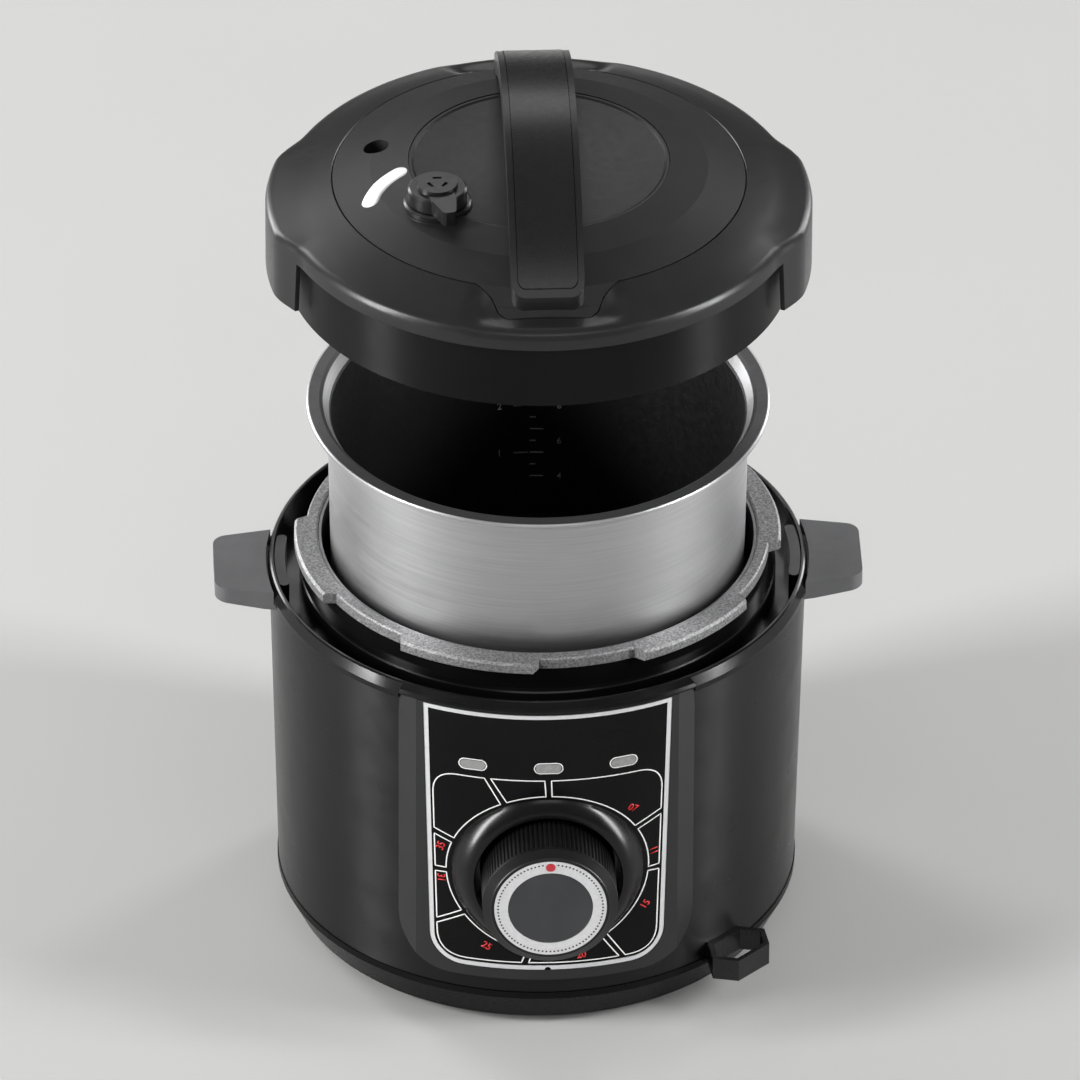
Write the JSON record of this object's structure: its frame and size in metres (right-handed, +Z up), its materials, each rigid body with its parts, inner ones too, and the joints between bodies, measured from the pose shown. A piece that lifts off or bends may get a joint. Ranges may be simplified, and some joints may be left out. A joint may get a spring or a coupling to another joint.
{
  "type": "electric pressure cooker",
  "caption": "Electric pressure cooker with a selector dial, shown with its inner pot and bayonet lid lifted off the base",
  "frame": {"origin": "on the worktop, on the axis of the pot", "axes": "X to the cooker's left-hand viewer's right, Y to the back, Z up; the control panel faces -Y"},
  "size_m": [0.333, 0.3104, 0.4818],
  "materials": {
    "black_plastic": "glossy moulded black plastic",
    "black_enamel": "glossy black enamel on steel",
    "dark_plastic": "fine-textured black plastic",
    "grey_plastic": "satin grey plastic",
    "cast_metal": "coarse die-cast aluminium",
    "satin_aluminium": "satin aluminium",
    "steel": "plain brushed steel",
    "bright_trim": "bright silver trim",
    "panel_gloss": "printed glossy black panel",
    "lens": "milky indicator lens",
    "rubber": "dark rubber",
    "silicone": "translucent silicone",
    "red_silicone": "red silicone",
    "red_paint": "red marker",
    "board": "green circuit board",
    "brass": "plain brass"
  },
  "bodies": {
    "base": {"base_pan": "black_plastic", "rubber_feet": "rubber", "base_screws": "steel", "housing_shell": "black_enamel", "top_ring": "black_plastic", "handle_left": "dark_plastic", "handle_right": "dark_plastic", "locking_collar": "cast_metal", "pot_liner": "steel", "hotplate": "satin_aluminium", "heating_element": "steel", "sensor_bracket": "steel", "sensor_spring": "steel", "front_bezel": "black_plastic", "control_panel": "panel_gloss", "panel_trim": "bright_trim", "indicator_lenses": "lens", "lamp_board": "board", "dial_dish": "panel_gloss", "timer_unit": "grey_plastic", "ladle_socket": "black_plastic", "mains_inlet": "dark_plastic", "inlet_pins": "brass"},
    "pot": {"inner_pot": "satin_aluminium"},
    "seal": {"sealing_ring": "silicone", "seal_hoop": "steel"},
    "lid": {"inner_lid": "black_enamel", "lid_cover": "black_plastic", "lid_cap": "black_plastic", "lid_dish": "panel_gloss", "lid_handle": "black_plastic", "handle_cover": "black_plastic", "handle_screws": "steel", "lid_nut": "steel", "float_guide": "steel", "vent_pipe": "steel", "vent_filter": "steel", "valve_base": "black_plastic"},
    "selector": {"timer_shaft": "steel", "selector_knob": "dark_plastic", "knob_ring": "satin_aluminium", "knob_cap": "dark_plastic", "knob_pointer": "red_paint"},
    "sensor": {"pot_sensor": "satin_aluminium"},
    "float": {"float_pin": "satin_aluminium", "float_seal": "red_silicone"},
    "weight": {"valve_weight": "steel"},
    "steam_valve": {"valve_knob": "dark_plastic"}
  },
  "joints": [
    {"name": "pot_lift", "type": "slide", "parent": "base", "child": "pot", "axis": [0, 0, 1], "range_m": [-0.078, 0.07]},
    {"name": "lid_lift", "type": "slide", "parent": "pot", "child": "seal", "axis": [0, 0, 1], "range_m": [-0.1, 0.05]},
    {"name": "lid_turn", "type": "hinge", "parent": "seal", "child": "lid", "pos_m": [0, 0, 0.4255], "axis": [0, 0, 1], "range_deg": [-30, 0]},
    {"name": "selector_turn", "type": "hinge", "parent": "base", "child": "selector", "pos_m": [0, -0.15, 0.1027], "axis": [0, 1, 0], "range_deg": [0, 300]},
    {"name": "sensor_press", "type": "slide", "parent": "base", "child": "sensor", "axis": [0, 0, 1], "range_m": [-0.003, 0], "stiffness_N_per_m": 400, "springref_m": 0.002, "deforming": ["sensor_spring"]},
    {"name": "float_rise", "type": "slide", "parent": "lid", "child": "float", "axis": [0, 0, 1], "range_m": [0, 0.005]},
    {"name": "weight_lift", "type": "slide", "parent": "lid", "child": "weight", "axis": [0, 0, 1], "range_m": [0, 0.003]},
    {"name": "valve_turn", "type": "hinge", "parent": "weight", "child": "steam_valve", "pos_m": [-0.053, -0.038, 0.4465], "axis": [0, 0, 1], "range_deg": [-15, 75]}
  ]
}
